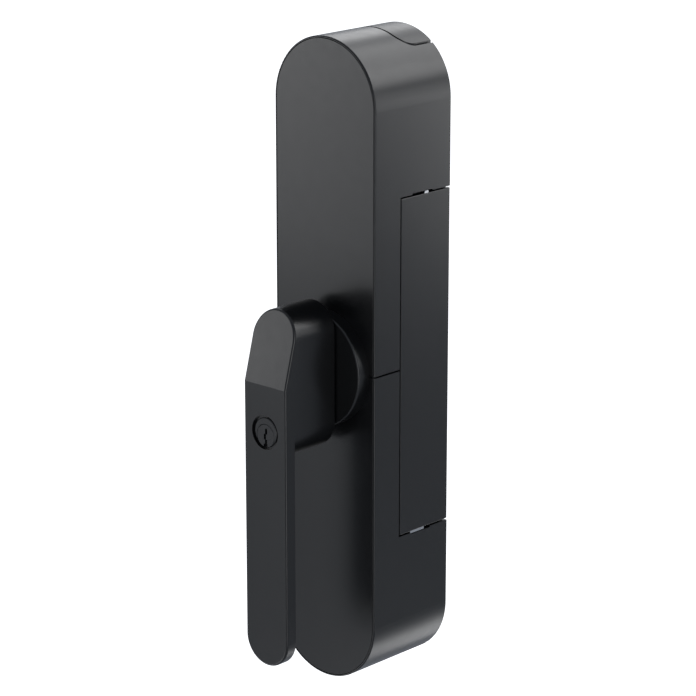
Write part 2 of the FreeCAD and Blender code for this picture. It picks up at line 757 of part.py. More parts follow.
def stack_depths():
    """Depths of the pin stacks along the plug."""
    return [cell("stack_first") + cell("stack_pitch") * index for index in range(PIN_STACKS)]


def make_lock_housing():
    """Body of the lock cylinder: the plug's bore is low in it, with the pins above."""
    far = cell("grip_front") - cell("lock_recess")
    drop = -cell("lock_drop")
    lip_near = cell("grip_front") - cell("lip_thick")
    barrel = rod(0, drop, cell("lock_near"), lip_near - cell("seat_gap"), cell("lock_radius"))
    face = tapered_rod(0, drop, lip_near - 1, far, cell("lock_face_radius"))
    housing = fuse(barrel, face)
    bore = rod(0, -cell("plug_drop"), cell("lock_near") - 1, far + 1,
               cell("plug_radius") + cell("running_gap"))
    shear = plug_top()
    roof = drop + cell("lock_radius") - cell("lock_roof")
    tools = [bore]
    for depth in stack_depths():
        tools.append(upright_rod(0, depth, shear - 1, roof, stack_bore()))
    return named(cut(housing, *tools), "lock_housing")


def plug_top():
    return cell("plug_radius") - cell("plug_drop")


def stack_bore():
    return cell("stack_radius") + cell("stack_gap")


def make_lock_plug():
    """Plug that the key turns, with its keyway and the bores of the lower pins."""
    drop = -cell("plug_drop")
    far = cell("grip_front") - cell("plug_recess")
    plug = tapered_rod(0, drop, cell("plug_near"), far, cell("plug_radius"))
    half = cell("keyway_width") / 2
    tools = []
    step = (cell("keyway_high") + cell("keyway_low")) / len(KEYWAY_STEPS)
    low = drop - cell("keyway_low")
    for index, shift in enumerate(KEYWAY_STEPS):
        foot = low + step * index
        tools.append(block(-half + shift, half + shift, cell("plug_near") + 1, far + 1,
                           foot, foot + step + cell("keyway_overlap")))
    mouth = cell("mouth_width") / 2
    tools.append(block(-mouth, mouth, cell("mouth_near"), far + 1,
                       drop - cell("plug_radius") - 1, low + cell("mouth_height")))
    floor, top = drop + cell("stack_floor"), plug_top() + 1
    for depth in stack_depths():
        tools.append(upright_rod(0, depth, floor, top, stack_bore()))
    return named(cut(plug, *tools), "lock_plug")


def make_key_pins():
    """Lower pins, level with the plug's surface as they are with the key in."""
    pins = []
    head = plug_top() - cell("key_pin_drop")
    for depth in stack_depths():
        pins.append(upright_rod(0, depth, head - cell("key_pin_length"), head,
                                cell("stack_radius")))
    return named(group(*pins), "key_pins")


def make_driver_pins():
    pins = []
    foot = plug_top() + cell("driver_rise")
    for depth in stack_depths():
        pins.append(upright_rod(0, depth, foot, foot + cell("driver_length"),
                                cell("stack_radius")))
    return named(group(*pins), "driver_pins")


def make_pin_springs():
    """Small upright springs that press the driver pins down."""
    springs = []
    wire = cell("stack_spring_wire")
    driver_head = plug_top() + cell("driver_rise") + cell("driver_length")
    foot = driver_head + cell("spring_gap") + wire
    tall = cell("stack_spring_length") - wire * 2
    radius = cell("stack_radius") - wire - cell("spring_gap")
    for depth in stack_depths():
        spine = doc.addObject("Part::Helix", "helix")
        bind(spine, "Height", tall)
        bind(spine, "Pitch", tall / PIN_SPRING_TURNS)
        bind(spine, "Radius", radius)
        spine.SegmentLength = 1
        place(spine, 0, depth, foot)
        section = doc.addObject("Part::Circle", "wire_section")
        section.Placement.Rotation = FreeCAD.Rotation(FreeCAD.Vector(1, 0, 0), 90)
        bind(section, "Radius", wire)
        place(section, radius, depth, foot)
        springs.append(sweep(spine, section, PIN_SPRING_TURNS))
    return named(group(*springs), "pin_springs")


def cam_slope():
    """Rise of the cam's slanted face per millimetre, for the bolt's travel in a quarter turn."""
    offset = cell("plug_drop") - cell("bolt_drop")
    return cell("bolt_travel") / (offset * math.sqrt(2))


def make_lock_cam():
    """Cam on the plug's inner end: its slanted face pushes the bolt as the plug turns."""
    body = new_body("lock_cam")
    radius = cell("cam_radius")
    middle = cell("cam_middle")
    reach = radius + 2
    rise = reach * cam_slope()
    low = middle - rise - 2
    pad(body, [(0, 0, radius)], low, cell("plug_near") - cell("seat_gap"), role="XY_Plane")
    below = [(-reach, low - 1), (-reach, middle - rise), (reach, middle + rise), (reach, low - 1)]
    pocket(body, [below], -reach, reach)
    diagonal = math.sqrt(0.5)
    toward_high_side = FreeCAD.Vector(diagonal, 0, diagonal)
    toward_room = FreeCAD.Vector(0, -1, 0)
    body.Placement.Rotation = FreeCAD.Rotation(
        toward_high_side, toward_room.cross(toward_high_side), toward_room, "ZXY")
    place(body, 0, 0, -cell("plug_drop"))
    return named(body, "lock_cam")


def bolt_tail_end():
    """Depth of the tail's rounded end: just clear of the cam's slanted face at rest."""
    slope = cam_slope().value
    rounding = cell("tail_radius") * (math.sqrt(1 + slope * slope) - 1)
    return cell("cam_middle") + cell("bolt_travel") / 2 - rounding - cell("cam_gap")


def make_locking_bolt():
    """Bolt with a shoulder for its spring and a thin tail that rides on the cam."""
    body = new_body("bolt_shank")
    up = -cell("bolt_drop")
    near = cell("bolt_shoulder_near")
    tail_end = bolt_tail_end() - cell("tail_radius")
    shoulder_far = near + cell("bolt_shoulder_thick")
    pad(body, [(0, up, cell("bolt_radius"))], cell("bolt_tip"), near)
    pad(body, [(0, up, cell("bolt_shoulder_radius"))], near, shoulder_far)
    pad(body, [(0, up, cell("tail_radius"))], shoulder_far, tail_end)
    ball = doc.addObject("Part::Sphere", "tail_ball")
    bind(ball, "Radius", cell("tail_radius"))
    place(ball, 0, tail_end, up)
    return named(fuse(body, ball), "locking_bolt")


def make_bolt_spring():
    near = cell("bolt_wall_far") + cell("spring_gap")
    far = cell("bolt_shoulder_near") - cell("spring_gap")
    spring = coil(0, -cell("bolt_drop"), near, far, cell("bolt_spring_radius"),
                  cell("bolt_spring_wire"), BOLT_SPRING_TURNS)
    return named(spring, "bolt_spring")


# ---------------------------------------------------------------- gear train

def involute(angle):
    return math.tan(angle) - angle


def tooth_flank(teeth):
    """(radius, half angle) along one flank, from the root to the tip."""
    size = module.value
    pitch = size * teeth / 2
    base = pitch * math.cos(PRESSURE_ANGLE)
    root = pitch - cell("tooth_root").value * size
    tip = pitch + cell("tooth_tip").value * size
    half_width = (math.pi * size / 2 - cell("tooth_thinning").value) / (2 * pitch)
    start = max(base, root)
    flank = []
    for step in range(FLANK_STEPS + 1):
        radius = start + (tip - start) * step / FLANK_STEPS
        lean = involute(PRESSURE_ANGLE) - involute(math.acos(base / radius))
        flank.append((radius, half_width + lean))
    if root < base:
        flank.insert(0, (root, flank[0][1]))
    return flank


def gear(teeth, near, far, across, up, phase):
    """Spur gear with a tooth pointing at the phase angle, measured from +X towards +Z."""
    count = round(teeth.value)
    flank = tooth_flank(count)
    points = []
    for tooth in range(count):
        middle = 2 * math.pi * tooth / count
        for radius, half in flank:
            points.append((radius, middle - half))
        for radius, half in reversed(flank):
            points.append((radius, middle + half))
    corners = [FreeCAD.Vector(radius * math.cos(angle), radius * math.sin(angle), 0)
               for radius, angle in points]
    face = Part.Face(Part.makePolygon(corners + corners[:1]))
    thing = doc.addObject("Part::Feature", "gear")
    thing.Shape = face.extrude(FreeCAD.Vector(0, 0, (far - near).value))
    upright = FreeCAD.Rotation(FreeCAD.Vector(1, 0, 0), 90)
    turned = FreeCAD.Rotation(FreeCAD.Vector(0, 0, 1), phase)
    where = FreeCAD.Vector(as_dim(across).value, -near.value, as_dim(up).value)
    thing.Placement = FreeCAD.Placement(where, upright * turned)
    return thing


def motor_place():
    """Across and up of the motor's axis, at the idler wheel's reach."""
    offset = cell("motor_offset")
    rise = math.sqrt(motor_reach.value ** 2 - offset.value ** 2)
    return -offset, idler_up + rise


def facing_space(teeth, direction):
    """Phase that turns a space between teeth to the direction, in degrees."""
    return direction + 180 / teeth.value


def make_output_gear():
    """Wheel on the hub: one tooth points up at the idler."""
    near, far = cell("output_near"), cell("output_far")
    wheel = gear(cell("output_teeth"), near, far, 0, 0, 90)
    tools = [rod(0, 0, near - 1, far + 1, cell("hub_radius") + cell("press_gap"))]
    reach = cell("lightening_reach")
    for step in range(LIGHTENING_HOLES):
        angle = 2 * math.pi * step / LIGHTENING_HOLES
        across, up = reach * math.cos(angle), reach * math.sin(angle)
        tools.append(rod(across, up, near - 1, far + 1, cell("lightening_radius")))
    return named(cut(wheel, *tools), "output_gear")


def make_idler_gear():
    """Double gear: the small one meshes with the output gear, the large one with the motor."""
    across, up = motor_place()
    towards_motor = math.degrees(math.atan2((up - idler_up).value, across.value))
    small_phase = facing_space(cell("idler_pinion_teeth"), 270)
    near, split = cell("output_near"), cell("wheel_near")
    small = gear(cell("idler_pinion_teeth"), near, split, 0, idler_up, small_phase)
    large = gear(cell("idler_wheel_teeth"), split, cell("wheel_far"), 0, idler_up, towards_motor)
    bore = rod(0, idler_up, near - 1, cell("wheel_far") + 1, cell("axle_radius"))
    return named(cut(fuse(small, large), bore), "idler_gear")


def make_idler_axle():
    radius = cell("axle_radius") - cell("running_gap")
    return named(rod(0, idler_up, cell("frame_near"), cell("bridge_far"), radius), "idler_axle")


def make_motor_pinion():
    """Pinion and the gearhead's output shaft, which turn together."""
    across, up = motor_place()
    towards_motor = math.degrees(math.atan2((up - idler_up).value, across.value))
    phase = facing_space(cell("motor_teeth"), towards_motor + 180)
    pinion = gear(cell("motor_teeth"), cell("wheel_near"), cell("wheel_far"), across, up, phase)
    radius = cell("shaft_radius") - cell("running_gap")
    shaft_near = cell("frame_near") - cell("shaft_depth")
    shaft = rod(across, up, shaft_near, cell("wheel_far"), radius)
    return named(fuse(pinion, shaft), "motor_pinion")


def motor_screw_places():
    across, up = motor_place()
    return [(across + cell("motor_screw_offset") * side, up) for side in SIDES]


def make_motor():
    """Motor can with its two terminals, then the planetary gearhead in front of it."""
    across, up = motor_place()
    near, split = cell("motor_near"), cell("motor_split")
    inset = cell("can_inset")
    can = rod(across, up, near, split - inset, cell("motor_radius") - inset)
    boss = rod(across, up, near - cell("motor_boss"), near, cell("motor_boss_radius"))
    half_wide, half_thick = cell("tag_width") / 2, cell("tag_thick") / 2
    tags = []
    for side in SIDES:
        middle = across + cell("tag_reach") * side
        tags.append(block(middle - half_wide, middle + half_wide, near - cell("tag_length"), near,
                          up - half_thick, up + half_thick))
    named(fuse(can, boss, *tags), "motor_can")

    far = cell("frame_near") - cell("bolt_gap")
    head = rod(across, up, split, far, cell("motor_radius"))
    shaft_end = cell("frame_near") - cell("shaft_depth")
    bore = rod(across, up, shaft_end - 1, far + 1, cell("shaft_radius"))
    hole_end = far - cell("motor_screw_depth")
    holes = [rod(*spot, hole_end, far + 1, cell("screw_radius") + cell("seat_gap"))
             for spot in motor_screw_places()]
    named(cut(head, bore, *holes), "motor_gearhead")


# ---------------------------------------------------------------- gear frame and bridge

def make_gear_frame():
    """Plate on the base plate's posts, between the gears and the battery bay."""
    body = new_body("gear_frame")
    near, far = cell("frame_near"), cell("frame_far")
    half, tall = cell("frame_half_width"), cell("frame_half_height")
    pad(body, [rectangle(-half, half, -tall, tall)], near, far)
    across, up = motor_place()
    screw_hole = cell("screw_radius") + cell("bolt_gap")
    holes = [
        (0, 0, cell("spindle_clearance")),
        (0, idler_up, cell("axle_radius")),
        (across, up, cell("shaft_clearance")),
    ]
    holes += [(*spot, screw_hole) for spot in motor_screw_places() + post_places()]
    pocket(body, holes, near - 1, far + 1)
    return named(body, "gear_frame")


def make_gear_bridge():
    """Front plate on four pillars: it holds the collar's sleeve and the idler's axle."""
    body = new_body("gear_bridge")
    near, far = cell("bridge_near"), cell("bridge_far")
    half = cell("bridge_half_width")
    pad(body, [rectangle(-half, half, -cell("bridge_foot"), cell("bridge_head"))], near, far)
    pillars = []
    for across in SIDES:
        for up in (-cell("pillar_foot"), cell("pillar_head")):
            pillars.append((cell("pillar_across") * across, up, cell("pillar_radius")))
    pad(body, pillars, cell("frame_far"), near + cell("joint_overlap"))
    sleeve_hole = cell("neck_sleeve_radius") + cell("seat_gap")
    holes = [(0, 0, sleeve_hole), (0, idler_up, cell("axle_radius"))]
    pocket(body, holes, near - 1, far + 1)
    return named(body, "gear_bridge")


def make_screws(label, places, seat, kind):
    """Identical screws whose heads lie on the room side of their seat."""
    length, head_radius, head_thick = kind
    far = seat + head_thick
    wide, narrow = cell("cross_width") / 2, cell("cross_slot") / 2
    bottom = far - cell("cross_depth")
    screws = []
    for across, up in places:
        shank = rod(across, up, seat - length, seat, cell("screw_radius"))
        cap = rod(across, up, seat, far, head_radius)
        level = block(across - wide, across + wide, bottom, far + 1, up - narrow, up + narrow)
        upright = block(across - narrow, across + narrow, bottom, far + 1, up - wide, up + wide)
        screws.append(cut(fuse(shank, cap), fuse(level, upright)))
    return named(group(*screws), label)


# ---------------------------------------------------------------- electronics

def board_screw_places():
    inset = cell("board_screw_inset")
    places = []
    for side in SIDES:
        for up in (-cell("board_head") - inset, inset - cell("board_foot")):
            places.append(((cell("board_half") - inset) * side, up))
    return places


def make_circuit_board():
    near = cell("board_near")
    far = near + cell("board_thick")
    board = block(-cell("board_half"), cell("board_half"), near, far, -cell("board_foot"),
                  -cell("board_head"))
    hole = cell("screw_radius") + cell("bolt_gap")
    holes = [rod(*spot, near - 1, far + 1, hole) for spot in board_screw_places()]
    named(cut(board, *holes), "circuit_board")

    bore = cell("screw_radius") + cell("seat_gap")
    spacers = [ring(*spot, cell("frame_far"), near, bore + cell("spacer_wall"), bore)
               for spot in board_screw_places()]
    named(group(*spacers), "board_spacers")

    chips = []
    for across, up, wide, tall, thick in BOARD_CHIPS:
        chips.append(block(across - wide / 2, across + wide / 2, far, far + thick,
                           up - tall / 2, up + tall / 2))
    named(group(*chips), "board_components")


# ---------------------------------------------------------------- battery pack

def make_battery_bay():
    """Channel in the housing that guides the pack, with its contact pins."""
    left, wall = cell("bay_left"), cell("bay_wall")
    near, far = cell("bay_near"), cell("bay_far")
    inner = cell("bay_inner_half")
    back = block(left, left + wall, near, far, -inner - wall, inner + wall)
    roofs = []
    for side in SIDES:
        foot, head = span(inner, inner + wall, side)
        roofs.append(block(left, inner_radius - cell("loose_gap"), near, far, foot, head))
    named(fuse(back, *roofs), "battery_bay")

    pins = []
    right = cell("tray_left") - cell("bolt_gap")
    for index in range(CONTACT_PINS):
        up = cell("contact_up") + cell("contact_pitch") * (index - (CONTACT_PINS - 1) / 2)
        pins.append(cross_rod(left + wall, right, cell("contact_depth"), up,
                              cell("contact_radius")))
    named(group(*pins), "bay_contacts")


def make_battery_cover():
    """Outer face of the pack, flush with the housing's side."""
    body = new_body("battery_cover")
    half = cell("pack_half_height")
    outline = rectangle(-cell("pack_depth"), as_dim(0), -half, half)
    pad(body, [outline], body_radius - cell("pack_skin"), body_radius, role="YZ_Plane")
    outer = body_radius.value
    round_over(body, cell("pack_round"),
               lambda edge: all(abs(vertex.X - outer) < 1e-4 for vertex in edge.Vertexes))
    return named(body, "battery_cover")


def make_battery_tray():
    """Open box behind the cover that holds the cells."""
    wall, half = cell("tray_wall"), cell("tray_half_height")
    left, right = cell("tray_left"), body_radius - cell("pack_skin")
    near, far = cell("tray_near"), cell("tray_far")
    outside = block(left, right, near, far, -half, half)
    inside = block(left + wall, right + 1, near + wall, far - wall, wall - half, half - wall)
    return named(cut(outside, inside), "battery_tray")


def cell_feet():
    """Heights of the two cells' flat ends: they stand in one column."""
    tall = cell("cell_length")
    return [-tall - cell("seat_gap"), cell("seat_gap")]


def make_battery_cells():
    across, depth = cell("cell_across"), cell("cell_depth")
    cells = []
    for foot in cell_feet():
        head = foot + cell("cell_length")
        can = upright_rod(across, depth, foot, head - cell("cell_cap"), cell("cell_radius"))
        cap = upright_rod(across, depth, head - cell("cell_cap"), head, cell("cell_cap_radius"))
        cells.append(fuse(can, cap))
    return named(group(*cells), "battery_cells")


def make_cell_contacts():
    """Plate over the upper cell and a sprung plate under the lower one, each on a post."""
    across, depth = cell("cell_across"), cell("cell_depth")
    limit = cell("tray_half_height") - cell("tray_wall")
    reach = cell("cell_length") + cell("bolt_gap")
    half = cell("terminal_half")
    outer_face = reach + cell("terminal_thick")
    contacts = []
    for side in SIDES:
        foot, head = span(reach, outer_face, side)
        plate = block(across - half, across + half, depth - half, depth + half, foot, head)
        foot, head = span(outer_face, limit, side)
        post = upright_rod(across, depth, foot, head, cell("terminal_post_radius"))
        contacts.append(fuse(plate, post))
    return named(group(*contacts), "cell_contacts")


def make_pack_board():
    """Protection circuit beside the cells."""
    left = cell("tray_left") + cell("tray_wall") + cell("pack_board_gap")
    right = left + cell("pack_board_width")
    far = cell("tray_far") - cell("tray_wall") - cell("pack_board_gap")
    near = far - cell("pack_board_thick")
    board = block(left, right, near, far, -cell("pack_board_foot"), cell("pack_board_head"))
    return named(board, "pack_board")


def make_pack_catches():
    """Steel catches in the gaps above and below the cover."""
    right = body_radius - cell("catch_inset")
    left = body_radius - cell("pack_skin")
    foot = cell("pack_half_height")
    head = foot + cell("catch_height")
    upper = block(left, right, cell("upper_catch_near"), cell("upper_catch_far"), foot, head)
    lower = block(left, right, cell("lower_catch_near"), cell("lower_catch_far"), -head, -foot)
    return named(group(upper, lower), "pack_catches")


# ---------------------------------------------------------------- assembly

def check_document():
    """Stop if any object failed, or any pocket removed nothing."""
    for thing in doc.Objects:
        if "Invalid" in thing.State or "Error" in thing.State:
            raise ValueError(f"{thing.Name} ({thing.Label}) failed")
        if thing.TypeId == "PartDesign::Pocket":
            before = thing.BaseFeature.Shape.Volume
            if before - thing.Shape.Volume < 1e-3:
                raise ValueError(f"{thing.Name} cuts nothing")
    for thing in sub_parts:
        if thing.Shape.isNull() or not thing.Shape.isValid():
            raise ValueError(f"{thing.Label} has no valid shape")


def build():
    for side, name in zip(SIDES, ("upper", "lower")):
        make_shell(f"{name}_shell", side)
        make_front_cover(f"{name}_front_cover", side)
        make_end_cap(f"{name}_end_cap", side)
    make_base_plate()
    make_fixing_screws()
    make_collar()
    make_gear_frame()
    make_gear_bridge()
    make_screws("frame_screws", post_places(), cell("frame_far"), FRAME_SCREW)
    make_screws("motor_screws", motor_screw_places(), cell("frame_far"), MOTOR_SCREW)
    make_idler_axle()
    make_motor()
    make_circuit_board()
    board_far = cell("board_near") + cell("board_thick")
    make_screws("board_screws", board_screw_places(), board_far, BOARD_SCREW)
    make_battery_bay()
    make_lever()
    make_hub()
    make_spindle()
    make_spindle_pin()
    make_spindle_sleeve()
    make_retaining_ring()
    make_output_gear()
    make_lock_housing()
    make_driver_pins()
    make_pin_springs()
    make_lock_plug()
    make_key_pins()
    make_lock_cam()
    make_locking_bolt()
    make_bolt_spring()
    make_idler_gear()
    make_motor_pinion()
    make_battery_cover()
    make_battery_tray()
    make_battery_cells()
    make_cell_contacts()
    make_pack_board()
    make_pack_catches()


build()
doc.recompute()
check_document()
os.makedirs("parts", exist_ok=True)
for sub_part in sub_parts:
    sub_part.Shape.exportStep(os.path.join("parts", sub_part.Label + ".step"))
print(f"{len(sub_parts)} sub-parts written")
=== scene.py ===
"""Motorised window handle with a lever, a lock and a battery pack: finishes, studio and camera."""

import math

import bmesh
import bpy
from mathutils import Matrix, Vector


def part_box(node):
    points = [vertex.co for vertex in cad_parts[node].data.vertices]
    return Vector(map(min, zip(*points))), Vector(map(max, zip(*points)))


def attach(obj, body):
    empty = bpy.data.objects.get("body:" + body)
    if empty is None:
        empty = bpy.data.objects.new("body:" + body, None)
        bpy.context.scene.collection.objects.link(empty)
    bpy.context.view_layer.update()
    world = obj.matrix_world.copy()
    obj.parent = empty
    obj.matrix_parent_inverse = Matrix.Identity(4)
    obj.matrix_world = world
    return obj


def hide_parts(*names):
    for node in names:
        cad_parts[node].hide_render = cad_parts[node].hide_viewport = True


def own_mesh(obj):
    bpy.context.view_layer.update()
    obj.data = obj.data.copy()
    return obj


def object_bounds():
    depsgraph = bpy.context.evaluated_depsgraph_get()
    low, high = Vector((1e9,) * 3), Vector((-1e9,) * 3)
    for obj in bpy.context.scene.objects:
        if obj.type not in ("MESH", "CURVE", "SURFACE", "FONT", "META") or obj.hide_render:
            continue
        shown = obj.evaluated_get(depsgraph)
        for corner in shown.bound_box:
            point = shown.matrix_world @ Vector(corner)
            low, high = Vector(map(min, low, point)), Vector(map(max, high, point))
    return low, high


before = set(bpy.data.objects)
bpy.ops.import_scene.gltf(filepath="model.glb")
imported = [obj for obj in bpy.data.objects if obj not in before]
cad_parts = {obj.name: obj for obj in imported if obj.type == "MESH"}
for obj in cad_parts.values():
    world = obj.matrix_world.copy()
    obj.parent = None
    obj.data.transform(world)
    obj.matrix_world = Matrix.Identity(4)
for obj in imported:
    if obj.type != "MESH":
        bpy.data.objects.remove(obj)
cad_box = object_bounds()

MM = 0.001
FULL_TURN = 2 * math.pi


# ---------------------------------------------------------------- node helpers

def new_material(name):
    """A new node material, with its tree and its shader."""
    material = bpy.data.materials.new(name)
    material.use_nodes = True
    tree = material.node_tree
    return material, tree, tree.nodes["Principled BSDF"]


def add(tree, kind, **values):
    """A node of that kind with its inputs set by name."""
    node = tree.nodes.new("ShaderNode" + kind)
    for name, value in values.items():
        node.inputs[name.replace("_", " ")].default_value = value
    return node


def place_on_object(tree, stretch=(1, 1, 1)):
    """Where a point is on the object, in metres, scaled along each axis."""
    scaled = add(tree, "Mapping", Scale=stretch)
    tree.links.new(add(tree, "TexCoord").outputs["Object"], scaled.inputs["Vector"])
    return scaled.outputs["Vector"]


def noise(tree, grain, detail=2.0, stretch=(1, 1, 1)):
    """Noise whose blotches are about grain metres across, before any stretch."""
    node = add(tree, "TexNoise", Scale=1.0 / grain, Detail=detail)
    tree.links.new(place_on_object(tree, stretch), node.inputs["Vector"])
    return node.outputs["Fac"]


def cells(tree, size, feature="F1"):
    """Voronoi cells about size metres across, as (distance, random colour)."""
    node = add(tree, "TexVoronoi", Scale=1.0 / size)
    node.feature = feature
    tree.links.new(place_on_object(tree), node.inputs["Vector"])
    return node.outputs["Distance"], node.outputs.get("Color")


def between(tree, share, low, high, start=0.3, end=0.7):
    """A number that goes from low to high as share goes from start to end."""
    node = add(tree, "MapRange", From_Min=start, From_Max=end, To_Min=low, To_Max=high)
    tree.links.new(share, node.inputs["Value"])
    return node.outputs["Result"]


def blend_colours(tree, share, first, second, start=0.3, end=0.7):
    """A colour that goes from first to second as share goes from start to end."""
    node = add(tree, "ValToRGB")
    stops = node.color_ramp.elements
    stops[0].position = start
    stops[0].color = (*first, 1)
    stops[1].position = end
    stops[1].color = (*second, 1)
    tree.links.new(share, node.inputs["Fac"])
    return node.outputs["Color"]


def relief(tree, shader, height, depth):
    """Raises the surface by depth metres where height is 1."""
    node = add(tree, "Bump", Distance=depth)
    tree.links.new(height, node.inputs["Height"])
    tree.links.new(node.outputs["Normal"], shader.inputs["Normal"])


def tint(shade, share):
    """A shade made lighter or darker by that share."""
    return [part * (1 + share) for part in shade]


# ---------------------------------------------------------------- materials

SATIN_TONE_PATCH = 45 * MM
SATIN_TONE_DRIFT = 0.15
SATIN_GLOSS_PATCH = 4 * MM
SATIN_GLOSS_DRIFT = 0.015
SATIN_DEPTH = 0.0015 * MM


def satin_black(name, shade, roughness, grain=0.35 * MM):
    """Fine-textured black: a moulded grain, and a tone and gloss that drift over the piece."""
    material, tree, shader = new_material(name)
    drift = noise(tree, SATIN_TONE_PATCH)
    tone = blend_colours(tree, drift, tint(shade, -SATIN_TONE_DRIFT), tint(shade, SATIN_TONE_DRIFT))
    tree.links.new(tone, shader.inputs["Base Color"])
    gloss = noise(tree, SATIN_GLOSS_PATCH, detail=4.0)
    rough = between(tree, gloss, roughness - SATIN_GLOSS_DRIFT, roughness + SATIN_GLOSS_DRIFT)
    tree.links.new(rough, shader.inputs["Roughness"])
    relief(tree, shader, noise(tree, grain), SATIN_DEPTH)
    return material


FIBRE = 0.5 * MM
FIBRE_STRETCH = (3.0, 3.0, 0.6)
FIBRE_PALER = 0.5
FIBRE_DEPTH = 0.01 * MM
NYLON_GLOSS_PATCH = 6 * MM
NYLON_ROUGHNESS = (0.48, 0.6)


def filled_nylon(name, shade):
    """Glass-filled nylon: short pale fibres lie along the flow, under a dull skin."""
    material, tree, shader = new_material(name)
    fibres = noise(tree, FIBRE, detail=3.0, stretch=FIBRE_STRETCH)
    tone = blend_colours(tree, fibres, shade, tint(shade, FIBRE_PALER), start=0.5, end=0.75)
    tree.links.new(tone, shader.inputs["Base Color"])
    rough = between(tree, noise(tree, NYLON_GLOSS_PATCH), *NYLON_ROUGHNESS)
    tree.links.new(rough, shader.inputs["Roughness"])
    relief(tree, shader, fibres, FIBRE_DEPTH)
    return material


BLOOM_PATCH = 12 * MM
MARKS_SMOOTHER = 0.06
MARKS_ROUGHER = 0.1
METAL_DEPTH = 0.004 * MM


def brushed_metal(name, shade, roughness, stretch, dulling=0.25, streak=0.4 * MM):
    """Metal with fine tool marks across one direction and a dull, oily bloom in patches."""
    material, tree, shader = new_material(name)
    shader.inputs["Metallic"].default_value = 1.0
    bloom = noise(tree, BLOOM_PATCH, detail=3.0)
    tone = blend_colours(tree, bloom, tint(shade, -dulling), shade)
    tree.links.new(tone, shader.inputs["Base Color"])
    marks = noise(tree, streak, detail=4.0, stretch=stretch)
    rough = between(tree, marks, roughness - MARKS_SMOOTHER, roughness + MARKS_ROUGHER)
    tree.links.new(rough, shader.inputs["Roughness"])
    relief(tree, shader, marks, METAL_DEPTH)
    return material


CRYSTAL = 5 * MM
CRYSTAL_DARKER = 0.3
ZINC_ROUGHNESS = (0.3, 0.45)
ZINC_GRAIN = 0.8 * MM


def spangled_sheet(name, shade):
    """Zinc-coated sheet: crystals a few millimetres across, each with its own tone."""
    material, tree, shader = new_material(name)
    shader.inputs["Metallic"].default_value = 1.0
    colour = cells(tree, CRYSTAL)[1]
    grey = add(tree, "RGBToBW")
    tree.links.new(colour, grey.inputs["Color"])
    tone = blend_colours(tree, grey.outputs["Val"], tint(shade, -CRYSTAL_DARKER), shade)
    tree.links.new(tone, shader.inputs["Base Color"])
    rough = between(tree, grey.outputs["Val"], *ZINC_ROUGHNESS)
    tree.links.new(rough, shader.inputs["Roughness"])
    relief(tree, shader, noise(tree, ZINC_GRAIN), METAL_DEPTH)
    return material


TRACK_PITCH = 3.2 * MM
TRACK_PALER = 0.8
TRACK_DEPTH = 0.03 * MM
LACQUER_GLOSS_PATCH = 2 * MM
LACQUER_ROUGHNESS = (0.28, 0.38)


def solder_mask(name, shade):
    """Circuit board: lacquer over copper tracks, which stand out a little and look paler."""
    material, tree, shader = new_material(name)
    shader.inputs["Coat Weight"].default_value = 0.5
    shader.inputs["Coat Roughness"].default_value = 0.15
    edges = cells(tree, TRACK_PITCH, feature="DISTANCE_TO_EDGE")[0]
    tracks = between(tree, edges, 1.0, 0.0, start=0.06, end=0.09)
    tone = blend_colours(tree, tracks, shade, tint(shade, TRACK_PALER), start=0.2, end=0.8)
    tree.links.new(tone, shader.inputs["Base Color"])
    rough = between(tree, noise(tree, LACQUER_GLOSS_PATCH), *LACQUER_ROUGHNESS)
    tree.links.new(rough, shader.inputs["Roughness"])
    relief(tree, shader, tracks, TRACK_DEPTH)
    return material


RIPPLE = 2.5 * MM
RIPPLE_STRETCH = (1.0, 1.0, 0.12)
RIPPLE_DEPTH = 0.02 * MM
FILM_DARKER = 0.2
FILM_PALER = 0.1
FILM_ROUGHNESS = (0.22, 0.34)


def shrink_film(name, shade):
    """Film shrunk round a cell: glossy, with faint drawn ripples along its length."""
    material, tree, shader = new_material(name)
    shader.inputs["Coat Weight"].default_value = 0.6
    shader.inputs["Coat Roughness"].default_value = 0.1
    ripples = noise(tree, RIPPLE, detail=2.0, stretch=RIPPLE_STRETCH)
    tone = blend_colours(tree, ripples, tint(shade, -FILM_DARKER), tint(shade, FILM_PALER))
    tree.links.new(tone, shader.inputs["Base Color"])
    rough = between(tree, ripples, *FILM_ROUGHNESS)
    tree.links.new(rough, shader.inputs["Roughness"])
    relief(tree, shader, ripples, RIPPLE_DEPTH)
    return material


BLACK = (0.0022, 0.0024, 0.0028)
SATIN = 0.30
ALONG_Y = (1.0, 0.02, 1.0)

